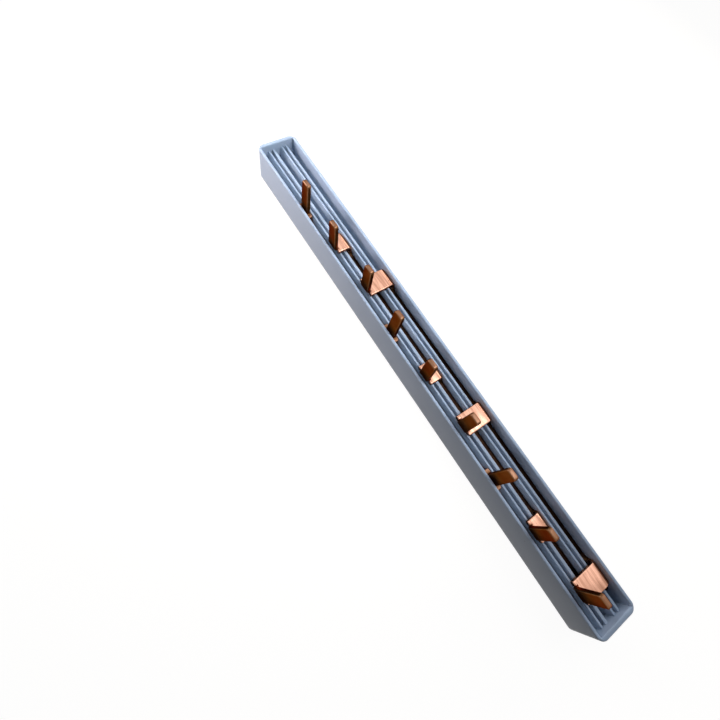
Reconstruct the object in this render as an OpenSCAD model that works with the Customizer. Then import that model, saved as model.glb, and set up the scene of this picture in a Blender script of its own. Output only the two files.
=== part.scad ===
// Three-phase pin busbar: three stamped copper combs in a slotted insulating profile, closed by an end cap at
// each end. The open side faces up, the pins stand in one row along the front wall. Origin: middle of the base.

/* [Length] */
// Distance from one pin to the next, one modular width
pitch = 17.8; // [17.5:0.1:18]
// Number of pins on each phase
pins_per_phase = 3; // [2:1:4]
// From the first pin to the outside of the left cap
left_overhang = 30.3; // [28:0.1:40]
// From the last pin to the outside of the right cap
right_overhang = 12.5; // [12:0.1:20]

/* [Housing profile] */
// Width over the two outer walls
profile_w = 14.8; // [14.6:0.1:15.2]
// Height of the outer walls
wall_h = 12.5; // [12.2:0.1:13]
// Thickness of the outer walls
wall_t = 1; // [0.8:0.1:1]
// Thickness of the floor
floor_t = 1.3; // [1:0.1:1.4]
// Height of the four inner ribs
rib_h = 10.2; // [9:0.1:10.3]
// Rounding of the outer edges
edge_r = 0.4; // [0.2:0.05:0.45]

/* [End caps] */
// Thickness of the plate that closes an end, also its corner radius
cap_t = 1.45; // [1.2:0.05:1.8]
// Length of the tongues that plug into the slots
plug_l = 4; // [2:0.5:4]
// Height of the tongues above the floor
plug_h = 3.6; // [2:0.1:5]
// Side clearance of the tongues
plug_gap = 0.12; // [0.05:0.01:0.2]

/* [Copper combs] */
// Thickness of the copper strip
strip_t = 1.5; // [1.2:0.1:1.5]
// Height of the strip that lies in the slot
strip_h = 6.7; // [6:0.1:7]
// How far the strips run past the last pin
strip_tail = 6.6; // [4:0.1:6.6]
// Width of the tongues and arms
tongue_w = 6.8; // [6:0.1:7.5]
// Height of the arms' upper side
arm_z = 12.05; // [11.9:0.05:12.4]
// Inside radius of the bends
bend_r = 0.35; // [0.2:0.05:0.5]
// Radius of the web where a tongue leaves its strip
web_r = 1.9; // [0.5:0.1:2]
// How far an arm's shoulders run past the start of its front bend
shoulder_run = 0.9; // [0:0.1:1.2]
// Shoulder height of the straight tongues
shoulder_z = 10.4; // [10:0.1:11]

/* [Blades] */
// Width of a blade at its foot
blade_w = 4; // [3.5:0.1:4.5]
// Width of a blade at its tip
blade_tip_w = 3.75; // [3.2:0.05:4]
// Height of the blade tips
tip_z = 22.7; // [21:0.1:24]
// Radius of the tip's corners
tip_r = 0.9; // [0.4:0.1:1.4]

/* [Hidden] */
$fn = 48;
arc_steps = 8;
eps = 0.01;

pins = 3 * pins_per_phase;
length = left_overhang + (pins - 1) * pitch + right_overhang;
profile_l = length - 2 * cap_t;
first_x = left_overhang - length / 2;
strip_end_x = first_x + (pins - 1) * pitch + strip_tail;

// Across the profile, from the outside of the front wall
strip_y = [1.65, 7.05, profile_w - wall_t - strip_t];
rib_top = [[3.67, 4.32], [5.33, 6.3], [9.02, 9.67], [10.62, 11.4]];
// The ribs behind strips 1 and 2 lean in towards them at this height
lip_z = floor_t + strip_h + 0.05;
lip_y = [strip_y[0] + strip_t + 0.02, strip_y[1] + strip_t + 0.02];
relief = 0.2;
plug_y = [[wall_t, lip_y[0]], [rib_top[1][1], lip_y[1]], [rib_top[3][1], profile_w - wall_t]];

// Each comb: sideways play in its slot, foot of the blades from the front, forward lean of the blades
comb_shift = [0, -0.35, 0.65];
foot_y = [strip_y[0], 1.95, 2.7];
lean = [0, 4.4, 2.6];
// Sideways set of each blade, left by handling
blade_set = [-1.4, -2.5, -2.6, -1.8, -2.6, -1.7, -1.5, -3, -2];

function pin_x(comb, i) = first_x + (comb + 3 * i) * pitch + comb_shift[comb];

plastic = [0.74, 0.77, 0.83];
copper = [0.72, 0.42, 0.28];

// A bar of section standing on the floor, both upper edges rounded
module upright(y0, y1, z1, r) {
    translate([y0, 0]) square([y1 - y0, z1 - r]);
    translate([y0 + r, 0]) square([y1 - y0 - 2 * r, z1]);
    for (y = [y0 + r, y1 - r]) translate([y, z1 - r]) circle(r);
}

// Rib behind a strip: it leans in to the lip, and is relieved below it
module lipped_rib(top, lip) {
    polygon([[top[1], 0], [top[1], rib_h], [top[0], rib_h], [lip, lip_z],
             [lip + relief, lip_z], [lip + relief, 0]]);
}

// The floor, its two lower edges rounded
module floor_section() {
    translate([edge_r, 0]) square([profile_w - 2 * edge_r, floor_t]);
    translate([0, edge_r]) square([profile_w, floor_t - edge_r]);
    for (y = [edge_r, profile_w - edge_r]) translate([y, edge_r]) circle(edge_r);
}

module profile_section() {
    floor_section();
    difference() {
        union() {
            translate([0, edge_r]) upright(0, wall_t, wall_h - edge_r, edge_r);
            translate([0, edge_r]) upright(profile_w - wall_t, profile_w, wall_h - edge_r, edge_r);
        }
        translate([profile_w - wall_t - 1, floor_t]) square([1 + relief, lip_z - floor_t]);
    }
    lipped_rib(rib_top[0], lip_y[0]);
    lipped_rib(rib_top[2], lip_y[1]);
    for (rib = [rib_top[1], rib_top[3]]) translate([rib[0], floor_t / 2])
        square([rib[1] - rib[0], rib_h - floor_t / 2]);
}

// A section drawn across the profile, carried along the bar from x
module along_bar(x, run) {
    translate([x, -profile_w / 2, 0]) rotate([90, 0, 90]) linear_extrude(run) children();
}

module housing_profile() {
    color(plastic) along_bar(-profile_l / 2, profile_l) profile_section();
}

// Plate with rounded corners towards the outside, at +x of its inner face, and three tongues towards -x
module end_cap() {
    translate([0, -profile_w / 2 + cap_t, 0]) cube([cap_t, profile_w - 2 * cap_t, wall_h]);
    for (side = [-1, 1]) translate([0, side * (profile_w / 2 - cap_t), 0]) intersection() {
        cylinder(r = cap_t, h = wall_h);
        translate([0, -cap_t, 0]) cube([cap_t, 2 * cap_t, wall_h]);
    }
    for (slot = plug_y) translate([-plug_l, slot[0] + plug_gap - profile_w / 2, floor_t])
        cube([plug_l + eps, slot[1] - slot[0] - 2 * plug_gap, plug_h]);
}

module end_cap_left() {
    color(plastic) translate([-profile_l / 2, 0, 0]) mirror([1, 0, 0]) end_cap();
}

module end_cap_right() {
    color(plastic) translate([profile_l / 2, 0, 0]) end_cap();
}

// Points of an arc about centre c, from angle a0 to a1
function arc(c, r, a0, a1) = [for (i = [0 : arc_steps])
    c + r * [cos(a0 + (a1 - a0) * i / arc_steps), sin(a0 + (a1 - a0) * i / arc_steps)]];

// A point turned clockwise about the origin
function turned(p, turn) = [p[0] * cos(turn) + p[1] * sin(turn), p[1] * cos(turn) - p[0] * sin(turn)];

// Outline of a blade from its root below the origin to height h: it narrows, and its tip is set over by turn
module blade_outline(h, root, turn) {
    half_foot = blade_w / 2;
    half_tip = blade_tip_w / 2;
    right_corner = arc([half_tip - tip_r, h - tip_r], tip_r, 0, 90);
    left_corner = arc([tip_r - half_tip, h - tip_r], tip_r, 90, 180);
    foot = [[-half_foot, 0], [-half_foot, -root], [half_foot, -root], [half_foot, 0]];
    polygon(concat(foot, [for (p = concat(right_corner, left_corner)) turned(p, turn)]));
}

// Concave webs on both sides of a tongue, from the strip's upper edge
module webs(y, sides) {
    z = floor_t + strip_h;
    for (side = sides) translate([side * tongue_w / 2, y + strip_t, z - eps]) rotate([90, 0, 0])
        linear_extrude(strip_t) difference() {
            translate([min(0, side * web_r), 0]) square(web_r);
            translate([side * web_r, web_r]) circle(web_r);
        }
}

// Straight tongue: rises from the strip to its shoulders, and on as the blade
module straight_pin(y, turn, sides) {
    z = floor_t + strip_h;
    translate([-tongue_w / 2, y, z - eps]) cube([tongue_w, strip_t, shoulder_z - z + eps]);
    translate([0, y + strip_t, shoulder_z]) rotate([90, 0, 0]) linear_extrude(strip_t)
        blade_outline(tip_z - shoulder_z, shoulder_z - z, turn);
    webs(y, sides);
}

// Section of a strip bent forward at the top: foot at [y0, z0], outer side at y1 and z1, arm reaching to y_end
module bent_section(y0, y1, z0, z1, y_end) {
    outer_r = y1 - y0 + bend_r;
    difference() {
        union() {
            translate([y_end, z0]) square([y1 - outer_r - y_end, z1 - z0]);
            translate([y_end, z0]) square([y1 - y_end, z1 - outer_r - z0]);
            translate([y1 - outer_r, z1 - outer_r]) circle(outer_r);
        }
        translate([y_end - 1, z0 - 1]) square([y1 - outer_r - y_end + 1, z1 - strip_t - z0 + 1]);
        translate([y_end - 1, z0 - 1]) square([y0 - y_end + 1, z1 - outer_r - z0 + 1]);
        translate([y1 - outer_r, z1 - outer_r]) circle(bend_r);
    }
}

// Section of the bend under a leaning blade, with the blade: the bend's centre is the origin, the arm lies
// below it on the right, and both arcs end inside the arm
module foot_section(forward, rise) {
    outer_r = bend_r + strip_t;
    top = rise / cos(forward) * [-sin(forward), cos(forward)];
    side = [-cos(forward), -sin(forward)];
    polygon(concat([top + outer_r * side, top + bend_r * side],
                   arc([0, 0], bend_r, 180 + forward, 255),
                   [[bend_r / 4, -bend_r - strip_t / 50], [bend_r / 4, -bend_r - strip_t / 2]],
                   arc([0, 0], outer_r, 255, 180 + forward)));
}

// Cranked tongue: up from the strip, forward over the ribs as a wide arm, and up again as the blade
module cranked_pin(y, front_y, forward, turn, sides) {
    z = floor_t + strip_h;
    foot_c = [front_y + bend_r + strip_t, arm_z + bend_r];
    rise = tip_z - foot_c[1];
    rotate([90, 0, 90]) translate([0, 0, -tongue_w / 2]) linear_extrude(tongue_w)
        bent_section(y, y + strip_t, z - eps, arm_z, foot_c[0] - shoulder_run);
    intersection() {
        translate([-tongue_w, foot_c[0], foot_c[1]]) rotate([90, 0, 90]) linear_extrude(2 * tongue_w)
            foot_section(forward, rise + strip_t);
        translate([0, y, foot_c[1]]) rotate([90, 0, 0]) linear_extrude(y + profile_w)
            blade_outline(rise, 2 * strip_t, turn);
    }
    webs(y, sides);
}

module comb(k) {
    x0 = pin_x(k, 0) - tongue_w / 2;
    color(copper) translate([0, -profile_w / 2, 0]) {
        translate([x0, strip_y[k], floor_t]) cube([strip_end_x - x0, strip_t, strip_h]);
        for (i = [0 : pins_per_phase - 1]) {
            sides = i == 0 ? [1] : [-1, 1];
            turn = blade_set[(k + 3 * i) % len(blade_set)];
            translate([pin_x(k, i), 0, 0]) {
                if (k == 0) straight_pin(strip_y[k], turn, sides);
                else cranked_pin(strip_y[k], foot_y[k], lean[k], turn, sides);
            }
        }
    }
}

module comb_l1() { comb(0); }
module comb_l2() { comb(1); }
module comb_l3() { comb(2); }

housing_profile();
end_cap_left();
end_cap_right();
comb_l1();
comb_l2();
comb_l3();
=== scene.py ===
import bpy
import numpy as np
from mathutils import Matrix, Vector


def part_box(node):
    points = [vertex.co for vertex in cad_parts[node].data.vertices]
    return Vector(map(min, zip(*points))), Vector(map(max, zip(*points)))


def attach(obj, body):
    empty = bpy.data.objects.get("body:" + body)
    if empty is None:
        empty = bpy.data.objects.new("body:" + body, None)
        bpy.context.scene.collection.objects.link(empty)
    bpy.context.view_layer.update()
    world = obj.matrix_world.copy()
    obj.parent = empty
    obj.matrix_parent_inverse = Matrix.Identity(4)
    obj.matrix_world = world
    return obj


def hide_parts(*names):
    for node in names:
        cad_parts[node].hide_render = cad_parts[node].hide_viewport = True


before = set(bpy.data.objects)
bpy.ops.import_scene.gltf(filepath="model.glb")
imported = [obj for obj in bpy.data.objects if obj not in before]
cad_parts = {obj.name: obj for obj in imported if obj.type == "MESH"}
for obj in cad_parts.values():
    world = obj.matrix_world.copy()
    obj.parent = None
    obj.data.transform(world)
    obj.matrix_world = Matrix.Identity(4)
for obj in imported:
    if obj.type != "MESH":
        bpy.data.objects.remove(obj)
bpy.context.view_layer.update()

print("comb busbar: frame loaded with", len(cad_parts), "nodes")
# sizes below are in millimetres, with x along the bar, y from the front wall to the back and z up
mm = 0.001
creaseAngle = 35
bevel = 0.3  # halfway round, a corner of radius r has drawn in by about this share of r
edgeSteps = 4


def boxOf(name):
    low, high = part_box(name)
    return np.array(low) / mm, np.array(high) / mm


profileLow, profileHigh = boxOf("housing_profile")
capHigh = boxOf("end_cap_right")[1]
stripBoxes = [boxOf(name) for name in ("comb_l1", "comb_l2", "comb_l3")]


def ringFaces(rings, points):
    # quads from each closed ring to the next one
    r, p = np.meshgrid(np.arange(rings - 1), np.arange(points), indexing="ij")
    q = (p + 1) % points
    corners = [r * points + p, r * points + q, (r + 1) * points + q, (r + 1) * points + p]
    return np.stack(corners, -1).reshape(-1, 4)


def closedTube(rings):
    # rings is an array (ring, point, xyz); the first and last ring are closed with one face each
    count, points, _ = rings.shape
    faces = ringFaces(count, points).tolist()
    faces.append(list(range(points))[::-1])
    faces.append(list(range((count - 1) * points, count * points)))
    return rings.reshape(-1, 3), faces, np.ones(count * points)


def joined(shells):
    vertices, faces, paintedLightTones, start = [], [], [], 0
    for points, quads, paintedLightTone in shells:
        vertices.append(points)
        faces += [[start + i for i in face] for face in quads]
        paintedLightTones.append(paintedLightTone)
        start += len(points)
    return np.concatenate(vertices), faces, np.concatenate(paintedLightTones)


def makePiece(name, shells, material, replaced):
    points, faces, paintedLightTone = joined(shells)
    mesh = bpy.data.meshes.new(name)
    mesh.from_pydata((points * mm).tolist(), [], faces)
    # this attribute carries painted light for the copper: painted shade in the slots and on the blades,
    # painted highlights on the edges
    layer = mesh.attributes.new("paintedLightTone", "FLOAT", "POINT")
    layer.data.foreach_set("value", paintedLightTone.astype(np.float32))
    mesh.shade_smooth()
    mesh.set_sharp_from_angle(angle=np.radians(creaseAngle))
    mesh.materials.append(material)
    mesh.validate()
    mesh.update()
    piece = bpy.data.objects.new(name, mesh)
    bpy.context.scene.collection.objects.link(piece)
    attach(piece, "root")
    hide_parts(replaced)


def roundedOutline(corners, radii, steps=5):
    # each corner of a closed outline becomes an arc that touches both its sides: the arc's centre lies on
    # the bisector, radius / sin(half angle) away, and the arc turns by the outer angle
    corners = np.asarray(corners, float)
    before = np.roll(corners, 1, 0) - corners
    after = np.roll(corners, -1, 0) - corners
    before /= np.linalg.norm(before, axis=1)[:, None]
    after /= np.linalg.norm(after, axis=1)[:, None]
    half = np.arccos(np.clip((before * after).sum(1), -1, 1)) / 2
    radii = np.broadcast_to(np.asarray(radii, float), half.shape)
    bisector = before + after
    bisector /= np.maximum(np.linalg.norm(bisector, axis=1), 1e-9)[:, None]
    centre = corners + bisector * (radii / np.sin(half))[:, None]
    first = corners + before * (radii / np.tan(half))[:, None] - centre
    side = np.sign(before[:, 0] * after[:, 1] - before[:, 1] * after[:, 0])
    turn = -side[:, None] * np.linspace(0, 1, steps + 1) * (np.pi - 2 * half)[:, None]
    cos, sin = np.cos(turn), np.sin(turn)
    x = centre[:, :1] + first[:, :1] * cos - first[:, 1:] * sin
    y = centre[:, 1:] + first[:, :1] * sin + first[:, 1:] * cos
    return np.stack([x, y], -1).reshape(-1, 2)


profile = {
    "wall": 1.0, "wallTop": 12.5, "floor": 1.3, "ribTop": 10.2, "edge": 0.32, "ribEdge": 0.16,
    "ribs": [[3.67, 4.32], [5.33, 6.3], [9.02, 9.67], [10.62, 11.4]],  # front and back of each rib's top
    "lips": [3.17, None, 8.57, None],  # where the first and third rib lean to
    "lipHeight": 8.05, "lipEdge": 0.1, "relief": 0.2, "undercut": 0.02,
    "backLip": 0.05, "backSlope": 0.3,  # corner radius and height of the step inside the back wall
    "foot": 0.4, "fillet": 0.1,
}
cap = {
    "wall": 1.0, "edge": 0.4, "foot": 0.4, "thick": 1.45, "round": 2.3,
    "plug": 4.0, "plugRoot": 0.2, "plugCorner": 0.2, "plugTop": 4.9,
    "plugs": [[1.12, 3.05], [6.42, 8.45], [11.52, 13.68]],
}


def ribOutline(p, rib, lip):
    # y, z and radius of a rib's corners; a rib with a lip leans forward to it, above the slot's relief
    front, back = rib
    foot = [(front, p["floor"], p["fillet"])]
    if lip is not None:
        slot = lip + p["relief"]
        foot = [(slot, p["floor"], p["fillet"]), (slot, p["lipHeight"], p["undercut"]),
                (lip, p["lipHeight"], p["lipEdge"])]
    top = [(front, p["ribTop"], p["ribEdge"]), (back, p["ribTop"], p["ribEdge"])]
    return foot + top + [(back, p["floor"], p["fillet"])]


def profileSection(p):
    # the outline runs up the front wall, over the floor and each rib, and down the back wall
    width = profileHigh[1] - profileLow[1]
    inner = width - p["wall"]
    points = [(0, 0, p["foot"]), (0, p["wallTop"], p["edge"]), (p["wall"], p["wallTop"], p["edge"]),
              (p["wall"], p["floor"], p["fillet"])]
    for rib, lip in zip(p["ribs"], p["lips"]):
        points += ribOutline(p, rib, lip)
    points += [
        (inner + p["relief"], p["floor"], p["fillet"]),
        (inner + p["relief"], p["lipHeight"] - p["backSlope"], p["backLip"]),
        (inner, p["lipHeight"], p["backLip"]), (inner, p["wallTop"], p["edge"]),
        (width, p["wallTop"], p["edge"]), (width, 0, p["foot"]),
    ]
    points = np.array(points)
    outline = roundedOutline(points[:, :2], points[:, 2])
    outline[:, 0] += profileLow[1]
    return outline[::-1]


def cornerInset(x):
    # how far a wall draws in at x, towards the round corner of the end:
    # radius - sqrt(radius^2 - distance^2)
    over = np.clip(np.abs(x) - (capHigh[0] - cap["round"]), 0, cap["round"])
    return cap["round"] - np.sqrt(cap["round"] ** 2 - over ** 2)


def sweepAlongBar(section, low, high):
    # the section stands across the bar and is repeated along it, and both walls draw in at the ends
    drawn = cap["round"] - cap["thick"]
    straight = np.linspace(low + drawn, high - drawn, 36)[1:-1]
    ends = np.linspace(low, low + drawn, 7), np.linspace(high - drawn, high, 7)
    x = np.concatenate([ends[0], straight, ends[1]])
    rings = np.empty((len(x), len(section), 3))
    rings[:, :, 0] = x[:, None]
    rings[:, :, 1:] = section[None]
    inWall = np.abs(section[:, 0]) > profileHigh[1] - profile["wall"] - profile["relief"] - 0.01
    rings[:, :, 1] -= np.sign(section[:, 0]) * inWall * cornerInset(x)[:, None]
    return closedTube(rings)


def capRim(p, side):
    # a wall section carried round the end: its outer foot follows the round front corner, the end and the
    # round back corner, and its inner foot stays on the end of the profile
    inner = capHigh[0] - p["thick"]
    half = profileHigh[1]
    turn = np.linspace(np.arcsin(1 - p["thick"] / p["round"]), np.pi / 2, 9)
    frontX = capHigh[0] - p["round"] * (1 - np.sin(turn))
    frontY = -half + p["round"] * (1 - np.cos(turn))
    front = np.stack([frontX, frontY], -1)
    outer = np.concatenate([front, front[::-1] * [1, -1]])
    footY = half - p["wall"] - cornerInset(inner)
    foot = np.concatenate([[[inner, -footY]] * len(front), [[inner, footY]] * len(front)])
    # rise is the path up the outer face: distance from the outer foot, then height
    top = capHigh[2]
    r = p["edge"]
    corner = np.linspace(0, np.pi / 2, 6)[1:]
    shoulder = np.stack([r - r * np.cos(corner), top - r + r * np.sin(corner)], -1)
    low = p["foot"]
    rise = np.concatenate([[[low, 0], [bevel * low, bevel * low], [0, low], [0, top - r]], shoulder])
    across = foot - outer
    width = np.linalg.norm(across, axis=1)
    across /= width[:, None]
    fall = rise[:3:-1]
    outerPart = outer[:, None] + across[:, None] * rise[None, :, :1]
    innerPart = outer[:, None] + across[:, None] * (width[:, None, None] - fall[None, :, :1])
    plan = np.concatenate([outerPart, innerPart, np.stack([foot, foot], 1)], 1)
    height = np.concatenate([rise[:, 1], fall[:, 1], [top - r, 0]])
    rings = np.concatenate([plan, np.broadcast_to(height[None, :, None], plan.shape[:2] + (1,))], -1)
    rings[:, :, 0] *= side
    return closedTube(rings[::side])


def roundedBlock(low, high, r):
    # a box with round corners seen along x, drawn in a little at both ends
    stations = [(low[0], r), (low[0] + r * bevel, r * bevel), (low[0] + r, 0),
                (high[0] - r, 0), (high[0] - r * bevel, r * bevel), (high[0], r)]
    rings = []
    for x, inset in stations:
        y0, y1, z0, z1 = low[1] + inset, high[1] - inset, low[2] + inset, high[2] - inset
        outline = roundedOutline([(y0, z0), (y1, z0), (y1, z1), (y0, z1)], r)
        rings.append(np.column_stack([np.full(len(outline), x), outline]))
    return closedTube(np.array(rings))


def endCap(p, side):
    shells = [capRim(p, side)]
    for y0, y1 in p["plugs"]:
        x0, x1 = sorted([side * (profileHigh[0] - p["plug"]), side * (profileHigh[0] + p["plugRoot"])])
        low = [x0, y0 + profileLow[1], profile["floor"]]
        high = [x1, y1 + profileLow[1], p["plugTop"]]
        shells.append(roundedBlock(low, high, p["plugCorner"]))
    return shells


comb = {
    "pitch": 17.8, "firstPin": -62.3, "thick": 1.5, "edge": 0.36,
    "stripTop": 8.0, "stripFoot": 1.3, "stripCorner": 0.15, "stripFront": [1.65, 7.05, 12.3],
    "tongue": 6.8, "web": 1.9, "root": 0.2, "shoulder": 10.4, "shoulderCorner": 0.32,
    "armTop": 12.05, "frontBend": 0.35, "rearBend": 1.1, "ears": 0.9, "earCorner": 0.3, "earGap": 0.03,
    "endRoll": 0.9, "earRoll": 0.85, "earInner": 0.3,  # shares of a corner by which ends and sides draw in
    "blade": 4.0, "bladeTip": 3.75, "tipTop": 22.7, "tipCorner": 0.9, "swingRun": 1.2,
    "sideways": [0, -0.35, 0.65], "bladeFoot": [1.65, 1.95, 2.7], "lean": [0, 4.4, 2.6],
    "set": [-1.4, -2.5, -2.6, -1.8, -2.6, -1.7, -1.5, -3, -2],  # sideways turn of each blade, in degrees
}
# painted light and tarnished copper, from 0, the painted shade down in its slot, over tarnished copper
# with painted shade on the blades at about 0.3, to 1, the bright arms; the rolled edges and the blades'
# ends are lighter as painted highlights
paintedLightAndTarnish = {"strip": 0.02, "shoulder": 0.5, "shoulderEdge": 0.6, "arm": 0.9, "armEdge": 1.0,
            "blade": 0.33, "bladeEdge": 0.4, "tip": 0.46}


def edgeRing(left, right, thick, r):
    # outline across a strap at each station, as (station, point, across and through): a box whose corners
    # are quarter turns of radius r, which stays just under half the thickness and half the width
    half = thick / 2
    r = np.minimum(np.minimum(r, half * 0.98), (right - left) * 0.49)
    quarter = np.linspace(0, np.pi / 2, edgeSteps + 1)
    centres = ((right - r, half - r), (left + r, half - r), (left + r, r - half), (right - r, r - half))
    parts = []
    for k, (x, y) in enumerate(centres):
        angle = quarter + k * np.pi / 2
        across = x[:, None] + r[:, None] * np.cos(angle)
        through = y[:, None] + r[:, None] * np.sin(angle)
        parts.append(np.stack([across, through], -1))
    return np.concatenate(parts, 1)


def strap(centreX, path, tangent, left, right, thick, edge, face, rim, swing=0.0):
    # stations along a flat strap whose centre line lies in the y-z plane: across it runs x, through it the
    # normal; swing is how far each station has turned sideways, and it adds up along the run; face and rim
    # are the shares of painted light on the flat faces and on the rolled edges, the rims lighter as
    # painted highlights
    path, tangent = np.asarray(path, float), np.asarray(tangent, float)
    normal = np.stack([tangent[:, 1], -tangent[:, 0]], -1)
    outline = edgeRing(left, right, thick, edge)
    swing = np.broadcast_to(swing, len(path))
    step = np.linalg.norm(np.diff(path, axis=0), axis=1)
    middle = (swing[1:] + swing[:-1]) / 2
    drift = np.concatenate([[0], np.cumsum(step * np.sin(middle))])
    sink = np.concatenate([[0], np.cumsum(step * (1 - np.cos(middle)))])
    across, through = outline[:, :, 0], outline[:, :, 1]
    along = -across * np.sin(swing)[:, None] - sink[:, None]
    rings = np.empty(outline.shape[:2] + (3,))
    rings[:, :, 0] = centreX + drift[:, None] + across * np.cos(swing)[:, None]
    rings[:, :, 1] = path[:, :1] + along * tangent[:, :1] + through * normal[:, :1]
    rings[:, :, 2] = path[:, 1:] + along * tangent[:, 1:] + through * normal[:, 1:]
    points, faces, _ = closedTube(rings)
    onCorner = np.arange(outline.shape[1]) % (edgeSteps + 1)
    rolled = (onCorner > 0) & (onCorner < edgeSteps)
    face, rim = np.broadcast_to(face, len(path)), np.broadcast_to(rim, len(path))
    paintedLightTone = np.where(rolled[None, :], rim[:, None], face[:, None])
    return points, faces, paintedLightTone.ravel()


def bladeStations(c, length):
    # distance from the foot, half width and thickness: a slight taper, round corners, and rolled edges
    # round a flat end
    corner, edge = c["tipCorner"], c["edge"]
    body = np.linspace(0, length - corner, 12)
    s = np.concatenate([body, length - corner + corner * np.sin(np.linspace(0, np.pi / 2, 11)[1:])])
    half = c["blade"] / 2 + (c["bladeTip"] - c["blade"]) / 2 * np.minimum(s / (length - corner), 1)
    over = np.clip(s - (length - corner), 0, corner)
    half = half - corner + np.sqrt(corner ** 2 - over ** 2)
    over = np.clip(s - (length - edge), 0, edge)
    thick = c["thick"] - 2 * (edge - np.sqrt(edge ** 2 - over ** 2)) * c["endRoll"]
    return s, half, thick


def paintedLightAlongBlade(count, body):
    # even up the blade, darkened with painted shade, and lighter over the last stations, at its sheared
    # end, as a painted highlight
    sheared = 4
    paintedLightTone = np.full(count, body)
    paintedLightTone[-sheared:] = paintedLightAndTarnish["tip"]
    return paintedLightTone


def webRise(c):
    # heights above the strip at which a tongue's webs are drawn, from a root sunk into the strip
    angle = np.linspace(0, np.pi / 2, 9)
    return np.concatenate([[-c["root"]], c["web"] * (1 - np.cos(angle))])


def webWidth(s, web):
    # how much wider a tongue is at s above its strip: a quarter circle that leaves the strip level
    over = np.clip(web - s, 0, web)
    return web - np.sqrt(web ** 2 - over ** 2)


def straightPin(c, x, front, turn, webLeft):
    # tongue with round shoulders, then the narrower blade, all in one plane
    r = c["shoulderCorner"]
    angle = np.linspace(0, np.pi / 2, 5)
    up = np.concatenate([webRise(c), c["shoulder"] - c["stripTop"] - r + r * np.sin(angle)])
    flare = webWidth(up, c["web"])
    tongueHalf = np.full(len(up), c["tongue"] / 2)
    tongueHalf[-len(angle):] -= r * (1 - np.cos(angle))
    s, bladeHalf, thick = bladeStations(c, c["tipTop"] - c["shoulder"])
    s = np.concatenate([r * (1 - np.cos(angle)), s[1:]])
    bladeHalf = np.concatenate([c["blade"] / 2 + r * (1 - np.sin(angle)), bladeHalf[1:]])
    thick = np.concatenate([np.full(len(up) + len(angle), c["thick"]), thick[1:]])
    height = np.concatenate([c["stripTop"] + up, c["shoulder"] + s])
    path = np.stack([np.full(len(height), front + c["thick"] / 2 + profileLow[1]), height], -1)
    tangent = np.broadcast_to([0.0, 1.0], path.shape)
    left = np.concatenate([-tongueHalf - flare * webLeft, -bladeHalf])
    right = np.concatenate([tongueHalf + flare, bladeHalf])
    swing = np.concatenate([np.zeros(len(up)), np.radians(turn) * np.clip(s / c["swingRun"], 0, 1)])
    # painted light: the shoulders half darkened, the blade in painted shade, its edges and end as painted
    # highlights
    face = np.concatenate([np.full(len(up), paintedLightAndTarnish["shoulder"]),
                           paintedLightAlongBlade(len(s), paintedLightAndTarnish["blade"])])
    rim = np.concatenate([np.full(len(up), paintedLightAndTarnish["shoulderEdge"]),
                          paintedLightAlongBlade(len(s), paintedLightAndTarnish["bladeEdge"])])
    return [strap(x, path, tangent, left, right, thick, c["edge"], face, rim, swing)]


def bentArm(c, x, y, armEnd, webLeft):
    # up from the strip, round the rear bend and forward to armEnd
    mid = c["rearBend"] + c["thick"] / 2
    centre = np.array([y - mid, c["armTop"] - c["thick"] - c["rearBend"]])
    rise = webRise(c)
    rise = rise[rise < centre[1] - c["stripTop"] - 0.05]  # they end just under the bend
    bend = np.linspace(0, np.pi / 2, 11)
    tongue = np.stack([np.full(len(rise), y), c["stripTop"] + rise], -1)
    arc = centre + mid * np.stack([np.cos(bend), np.sin(bend)], -1)
    arm = np.stack([np.linspace(centre[0], armEnd, 8)[1:], np.full(7, c["armTop"] - c["thick"] / 2)], -1)
    path = np.concatenate([tongue, arc, arm])
    tangent = np.concatenate([np.broadcast_to([0.0, 1.0], tongue.shape),
                              np.stack([-np.sin(bend), np.cos(bend)], -1),
                              np.broadcast_to([-1.0, 0.0], arm.shape)])
    run = np.concatenate([[0], np.cumsum(np.linalg.norm(np.diff(path, axis=0), axis=1))]) - c["root"]
    flare = webWidth(run, c["web"])
    half = np.full(len(run), c["tongue"] / 2)
    # painted shade: the tongue is dark down in its slot and brightens up to 0.3 above the start of the
    # bend
    slotShadeFade = np.clip((path[:, 1] - c["stripTop"]) / (centre[1] - c["stripTop"] + 0.3), 0, 1) ** 2
    face = paintedLightAndTarnish["strip"] + (paintedLightAndTarnish["arm"] - paintedLightAndTarnish["strip"]) * slotShadeFade
    rim = paintedLightAndTarnish["strip"] + (paintedLightAndTarnish["armEdge"] - paintedLightAndTarnish["strip"]) * slotShadeFade
    thick = np.full(len(run), c["thick"])
    left, right = -half - flare * webLeft, half + flare
    return strap(x, path, tangent, left, right, thick, c["edge"], face, rim)


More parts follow.
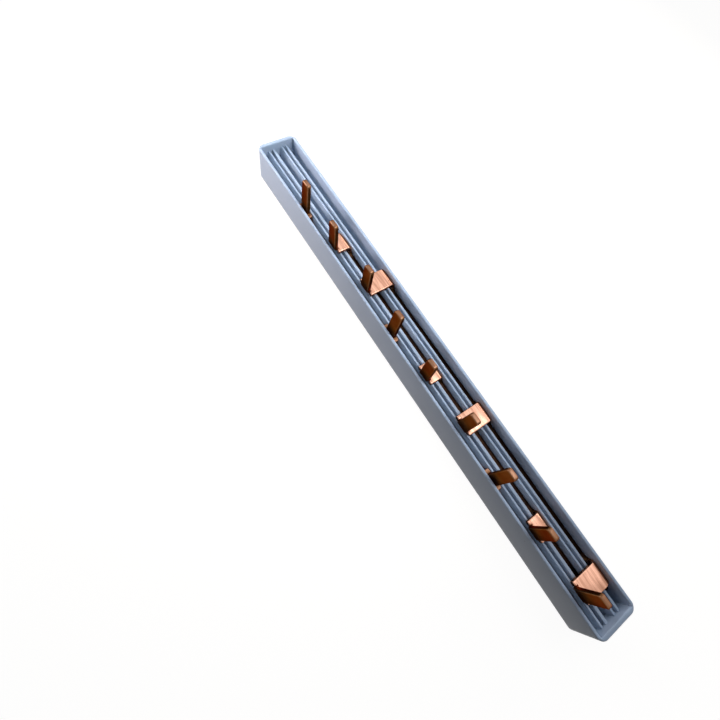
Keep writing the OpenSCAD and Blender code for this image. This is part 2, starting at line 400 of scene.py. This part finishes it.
def bentBlade(c, x, centre, lean, turn):
    # from the arm's end round the front bend, then up, leaning forward
    angle = np.linspace(1.5 * np.pi, np.pi + np.radians(lean), 11)
    ray = np.stack([np.cos(angle), np.sin(angle)], -1)
    bend = centre + (c["frontBend"] + c["thick"] / 2) * ray
    up = np.array([-np.sin(np.radians(lean)), np.cos(np.radians(lean))])
    s, half, thick = [a[1:] for a in bladeStations(c, (c["tipTop"] - bend[-1, 1]) / up[1])]
    path = np.concatenate([bend, bend[-1] + s[:, None] * up])
    tangent = np.concatenate([ray[:, ::-1] * [1, -1], np.broadcast_to(up, (len(s), 2))])
    half = np.concatenate([np.full(len(angle), c["blade"] / 2), half])
    thick = np.concatenate([np.full(len(angle), c["thick"]), thick])
    swing = np.radians(turn) * np.concatenate([np.zeros(len(angle)), np.clip(s / c["swingRun"], 0, 1)])
    # painted light: round the front bend the copper darkens from the bright arm to the painted shade of
    # the blade
    face = np.concatenate([np.linspace(paintedLightAndTarnish["arm"], paintedLightAndTarnish["blade"], len(angle)),
                           paintedLightAlongBlade(len(s), paintedLightAndTarnish["blade"])])
    rim = np.concatenate([np.linspace(paintedLightAndTarnish["armEdge"], paintedLightAndTarnish["bladeEdge"], len(angle)),
                          paintedLightAlongBlade(len(s), paintedLightAndTarnish["bladeEdge"])])
    return strap(x, path, tangent, -half, half, thick, c["edge"], face, rim, swing)


def ears(c, x, armEnd):
    # the arm's corners, which run on beside the front bend
    r = c["earCorner"]
    corner = np.linspace(0, np.pi / 2, 6)
    s = np.concatenate([[0], c["ears"] - r + r * np.sin(corner)])
    inset = np.concatenate([[0], r * (1 - np.cos(corner))])
    path = np.stack([armEnd - s, np.full(len(s), c["armTop"] - c["thick"] / 2)], -1)
    tangent = np.broadcast_to([-1.0, 0.0], path.shape)
    thick = c["thick"] - 2 * c["earRoll"] * np.minimum(inset, c["edge"])
    inner = c["blade"] / 2 + c["earGap"] + inset * c["earInner"]
    outer = c["tongue"] / 2 - inset
    return [strap(x, path, tangent, left, right, thick, c["edge"], paintedLightAndTarnish["arm"], paintedLightAndTarnish["armEdge"])
            for left, right in ((inner, outer), (-outer, -inner))]


def crankedPin(c, x, front, foot, lean, turn, webLeft):
    y = front + c["thick"] / 2 + profileLow[1]
    centre = np.array([foot + c["frontBend"] + c["thick"] + profileLow[1], c["armTop"] + c["frontBend"]])
    arm = bentArm(c, x, y, centre[0], webLeft)
    return [arm, bentBlade(c, x, centre, lean, turn)] + ears(c, x, centre[0])


def combShells(c, k):
    low, high = stripBoxes[k]
    front = c["stripFront"][k]
    y = front + profileLow[1]
    stripLow, stripHigh = [low[0], y, c["stripFoot"]], [high[0], y + c["thick"], c["stripTop"]]
    points, faces, paintedLightTone = roundedBlock(stripLow, stripHigh, c["stripCorner"])
    # the strip is painted dark, as painted shade down in its slot
    shells = [(points, faces, paintedLightTone * paintedLightAndTarnish["strip"])]
    for i in range(3):
        pin = k + 3 * i
        x = c["firstPin"] + c["pitch"] * pin + c["sideways"][k]
        webLeft = 0.0 if i == 0 else 1.0  # each strip starts flush with its first tongue
        if k == 0:
            shells += straightPin(c, x, front, c["set"][pin], webLeft)
        else:
            shells += crankedPin(c, x, front, c["bladeFoot"][k], c["lean"][k], c["set"][pin], webLeft)
    return shells


def newMaterial(name):
    material = bpy.data.materials.new(name)
    material.use_nodes = True
    tree = material.node_tree
    return material, tree, tree.nodes["Principled BSDF"]


def link(tree, a, out, b, into):
    tree.links.new(a.outputs[out], b.inputs[into])


def node(tree, kind, **values):
    made = tree.nodes.new(kind)
    for key, value in values.items():
        if key in made.inputs:
            made.inputs[key].default_value = value
        else:
            setattr(made, key, value)
    return made


def remap(tree, value, low, high, first=0.0, last=1.0):
    # value taken from low and high to first and last, and held there beyond them
    span = node(tree, "ShaderNodeMapRange")
    for name, number in (("From Min", low), ("From Max", high), ("To Min", first), ("To Max", last)):
        span.inputs[name].default_value = number
    tree.links.new(value, span.inputs["Value"])
    return span.outputs["Result"]


def colorMix(tree, share, low, high):
    # the colour between low and high, each a colour or another node's output; a colour Mix node has its
    # share in socket 0, its two colours in 6 and 7 and its result in 2
    mix = node(tree, "ShaderNodeMix", data_type="RGBA")
    tree.links.new(share, mix.inputs[0])
    for socket, color in ((6, low), (7, high)):
        if isinstance(color, tuple):
            mix.inputs[socket].default_value = color
        else:
            tree.links.new(color, mix.inputs[socket])
    return mix.outputs[2]


def noise(tree, place, scale, detail):
    # soft noise on the object's own coordinates, by one scale or by one for each axis
    made = node(tree, "ShaderNodeTexNoise", Detail=detail)
    if isinstance(scale, tuple):
        stretch = node(tree, "ShaderNodeMapping", Scale=scale)
        link(tree, place, "Object", stretch, "Vector")
        link(tree, stretch, "Vector", made, "Vector")
        made.inputs["Scale"].default_value = 1.0
    else:
        link(tree, place, "Object", made, "Vector")
        made.inputs["Scale"].default_value = scale
    return made.outputs["Fac"]


def grain(tree, height, p, shader):
    bump = node(tree, "ShaderNodeBump", Strength=p["grain"], Distance=p["grainDepth"])
    tree.links.new(height, bump.inputs["Height"])
    link(tree, bump, "Normal", shader, "Normal")


plastic = {
    "color": (0.49, 0.555, 0.65, 1), "dark": (0.43, 0.495, 0.59, 1), "clouds": 60.0,
    "speck": (0.16, 0.16, 0.17, 1), "speckCells": 170.0, "speckSpan": (0.045, 0.02), "speckShare": 0.55,
    "drawnLines": (25, 900, 900), "grain": 0.12, "grainDepth": 0.0001,
    "roughness": 0.38, "specular": 0.18, "glow": 0.25, "depth": 1.2,
}


def plasticMaterial(p):
    material, tree, shader = newMaterial("palePlastic")
    place = node(tree, "ShaderNodeTexCoord")
    clouds = colorMix(tree, noise(tree, place, p["clouds"], 3.0), p["dark"], p["color"])
    # a few specks of dirt, where the centre of a cell lies within a quarter of a millimetre of the surface
    cells = node(tree, "ShaderNodeTexVoronoi", Scale=p["speckCells"])
    link(tree, place, "Object", cells, "Vector")
    near = remap(tree, cells.outputs["Distance"], *p["speckSpan"], 0.0, p["speckShare"])
    tree.links.new(colorMix(tree, near, clouds, p["speck"]), shader.inputs["Base Color"])
    grain(tree, noise(tree, place, p["drawnLines"], 3.0), p, shader)
    shader.inputs["Roughness"].default_value = p["roughness"]
    shader.inputs["Specular IOR Level"].default_value = p["specular"]
    shader.inputs["Subsurface Weight"].default_value = p["glow"]
    shader.inputs["Subsurface Radius"].default_value = (1, 1, 1)
    shader.inputs["Subsurface Scale"].default_value = p["depth"] * mm
    return material


copper = {
    # the tarnished colour also carries the blades' painted shade, and the shade colour is the painted
    # shade of a slot
    "bare": (0.73, 0.385, 0.265, 1), "worn": (0.47, 0.23, 0.15, 1), "tarnishAndShade": (0.105, 0.046, 0.016, 1),
    "shade": (0.020, 0.009, 0.006, 1), "half": 0.3, "edgeTint": (0.42, 0.22, 0.11, 1),
    "streaks": (120, 1300, 1300), "streakSpan": (0.38, 0.62), "clouds": 320.0, "mottle": 0.20,
    "grain": 0.3, "grainDepth": 0.00005, "polished": 0.20, "dull": 0.42,
}


def copperMaterial(p):
    # streaks along the strip run between worn and bare copper; the painted light value, made uneven by
    # soft clouds, darkens them to tarnished copper with painted shade, and from half downwards to the
    # painted shade of a slot
    material, tree, shader = newMaterial("bareCopper")
    place = node(tree, "ShaderNodeTexCoord")
    streaks = noise(tree, place, p["streaks"], 3.0)
    fresh = colorMix(tree, remap(tree, streaks, *p["streakSpan"]), p["worn"], p["bare"])
    paintedLightTone = node(tree, "ShaderNodeAttribute", attribute_name="paintedLightTone")
    uneven = node(tree, "ShaderNodeMath", operation="MULTIPLY_ADD")
    tree.links.new(noise(tree, place, p["clouds"], 4.0), uneven.inputs[0])
    uneven.inputs[1].default_value = p["mottle"]
    uneven.inputs[2].default_value = -p["mottle"] / 2
    total = node(tree, "ShaderNodeMath", operation="ADD", use_clamp=True)
    link(tree, paintedLightTone, "Fac", total, 0)
    link(tree, uneven, "Value", total, 1)
    share = total.outputs["Value"]
    slotShadeAndTarnish = colorMix(tree, remap(tree, share, 0.0, p["half"]), p["shade"], p["tarnishAndShade"])
    color = colorMix(tree, remap(tree, share, p["half"], 1.0), slotShadeAndTarnish, fresh)
    tree.links.new(color, shader.inputs["Base Color"])
    rough = remap(tree, paintedLightTone.outputs["Fac"], 0.0, 1.0, p["dull"], p["polished"])
    tree.links.new(rough, shader.inputs["Roughness"])
    shader.inputs["Metallic"].default_value = 1.0
    shader.inputs["Specular Tint"].default_value = p["edgeTint"]
    grain(tree, streaks, p, shader)
    return material


palePlastic = plasticMaterial(plastic)
bareCopper = copperMaterial(copper)

housing = sweepAlongBar(profileSection(profile), profileLow[0], profileHigh[0])
makePiece("housingProfile", [housing], palePlastic, "housing_profile")
for side, name in ((1, "Right"), (-1, "Left")):
    makePiece("endCap" + name, endCap(cap, side), palePlastic, "end_cap_" + name.lower())
print("plastic: profile and caps made")
for k, name in enumerate(("frontComb", "middleComb", "rearComb")):
    makePiece(name, combShells(comb, k), bareCopper, "comb_l%d" % (k + 1))
print("copper: three combs made")


view = {"spot": (21.50, -60.10, 126.79), "turn": (2.389, 1.341, -0.043), "lens": 20.61, "sensor": 36}


def turnMatrix(vector):
    # rotation by the vector's length, in radians, about its direction
    angle = float(np.linalg.norm(vector))
    return Matrix.Rotation(angle, 3, (np.array(vector) / angle).tolist())


camera = bpy.data.objects.new("camera", bpy.data.cameras.new("camera"))
bpy.context.scene.collection.objects.link(camera)
rows = turnMatrix(view["turn"])
facing = Matrix([rows[0], -rows[1], -rows[2]]).transposed()
camera.matrix_world = Matrix.Translation([a * mm for a in view["spot"]]) @ facing.to_4x4()
camera.data.sensor_width = view["sensor"]
camera.data.lens = view["lens"]
camera.data.clip_start = 0.005
bpy.context.scene.camera = camera

# sizes in millimetres, spread in degrees; the window and the doorway stand past the bar's far end
light = {
    "ceiling": {"spot": (-40, 170, 260), "aim": (-20, 0, 10), "size": (560, 220),
                "watts": 0.33, "spread": 180, "color": (0.80, 0.90, 1.0)},
    "window": {"spot": (-190, -40, 140), "aim": (-85, -7, 8), "size": (120, 120),
               "watts": 0.08, "spread": 120, "color": (0.72, 0.86, 1.0)},
    "doorway": {"spot": (-190, -110, 70), "aim": (-85, -7, 6), "size": (90, 90),
                "watts": 0.047, "spread": 62, "color": (1.0, 0.94, 1.0)},
    "overhead": {"spot": (40, 30, 170), "aim": (-75, 0, 8), "size": (100, 100),
                 "watts": 0.055, "spread": 80, "color": (0.80, 0.90, 1.0)},
    "lowWindow": {"spot": (-40, 260, 110), "aim": (0, 0, 12), "size": (340, 60),
                  "watts": 0.20, "spread": 180, "color": (1.0, 0.96, 0.92)},
}
for name, l in light.items():
    data = bpy.data.lights.new(name, "AREA")
    data.shape = "RECTANGLE"
    data.size, data.size_y = [a * mm for a in l["size"]]
    data.energy = l["watts"]
    data.spread = float(np.radians(l["spread"]))
    data.color = l["color"]
    lamp = bpy.data.objects.new(name, data)
    bpy.context.scene.collection.objects.link(lamp)
    spot, aim = np.array(l["spot"]) * mm, np.array(l["aim"]) * mm
    lamp.location = spot.tolist()
    lamp.rotation_euler = Vector((aim - spot).tolist()).to_track_quat("-Z", "Y").to_euler()


def backgroundSeen(tree):
    # 1 where a ray comes from the camera, or from something that mirrors or lets through the background
    seen = node(tree, "ShaderNodeLightPath")
    first = node(tree, "ShaderNodeMath", operation="MAXIMUM")
    second = node(tree, "ShaderNodeMath", operation="MAXIMUM")
    link(tree, seen, "Is Camera Ray", first, 0)
    link(tree, seen, "Is Glossy Ray", first, 1)
    link(tree, first, "Value", second, 0)
    link(tree, seen, "Is Transmission Ray", second, 1)
    return second.outputs["Value"]


# the room is bright and blue towards the back and above, and dark and warm in front of the blades
room = {"back": (0.56, 0.68, 0.86, 1), "front": (0.075, 0.055, 0.04, 1), "towards": (-0.30, 0.74, 0.60),
        "span": (0.1, 1.0), "strength": 0.45}
world = bpy.data.worlds.new("room")
bpy.context.scene.world = world
world.use_nodes = True
tree = world.node_tree
tree.nodes.clear()
direction = node(tree, "ShaderNodeTexCoord")
tilt = node(tree, "ShaderNodeVectorMath", operation="DOT_PRODUCT")
tilt.inputs[1].default_value = room["towards"]
link(tree, direction, "Generated", tilt, 0)
blend = colorMix(tree, remap(tree, tilt.outputs["Value"], *room["span"]), room["front"], room["back"])
sky = node(tree, "ShaderNodeBackground", Strength=room["strength"])
tree.links.new(blend, sky.inputs["Color"])
white = node(tree, "ShaderNodeBackground", Color=(1, 1, 1, 1), Strength=1.0)
show = node(tree, "ShaderNodeMixShader")
tree.links.new(backgroundSeen(tree), show.inputs[0])
tree.links.new(sky.outputs["Background"], show.inputs[1])
tree.links.new(white.outputs["Background"], show.inputs[2])
out = node(tree, "ShaderNodeOutputWorld")
link(tree, show, "Shader", out, "Surface")

floor = {"half": 3.0, "color": (0.16, 0.135, 0.11, 1), "white": 0.94}  # half its side, in metres
mesh = bpy.data.meshes.new("floor")
h = floor["half"]
mesh.from_pydata([(-h, -h, 0), (h, -h, 0), (h, h, 0), (-h, h, 0)], [], [(0, 1, 2, 3)])
ground = bpy.data.objects.new("floor", mesh)
bpy.context.scene.collection.objects.link(ground)
material = bpy.data.materials.new("paleFloor")
material.use_nodes = True
tree = material.node_tree
tree.nodes.clear()
soft = node(tree, "ShaderNodeBsdfDiffuse", Color=floor["color"])
white = node(tree, "ShaderNodeEmission")
share = node(tree, "ShaderNodeMath", operation="MULTIPLY")
share.inputs[1].default_value = floor["white"]
tree.links.new(backgroundSeen(tree), share.inputs[0])
link(tree, share, "Value", white, "Strength")
both = node(tree, "ShaderNodeAddShader")
link(tree, soft, "BSDF", both, 0)
link(tree, white, "Emission", both, 1)
out = node(tree, "ShaderNodeOutputMaterial")
link(tree, both, "Shader", out, "Surface")
mesh.materials.append(material)
bpy.context.scene.view_settings.view_transform = "Standard"
print("camera, light and floor set")
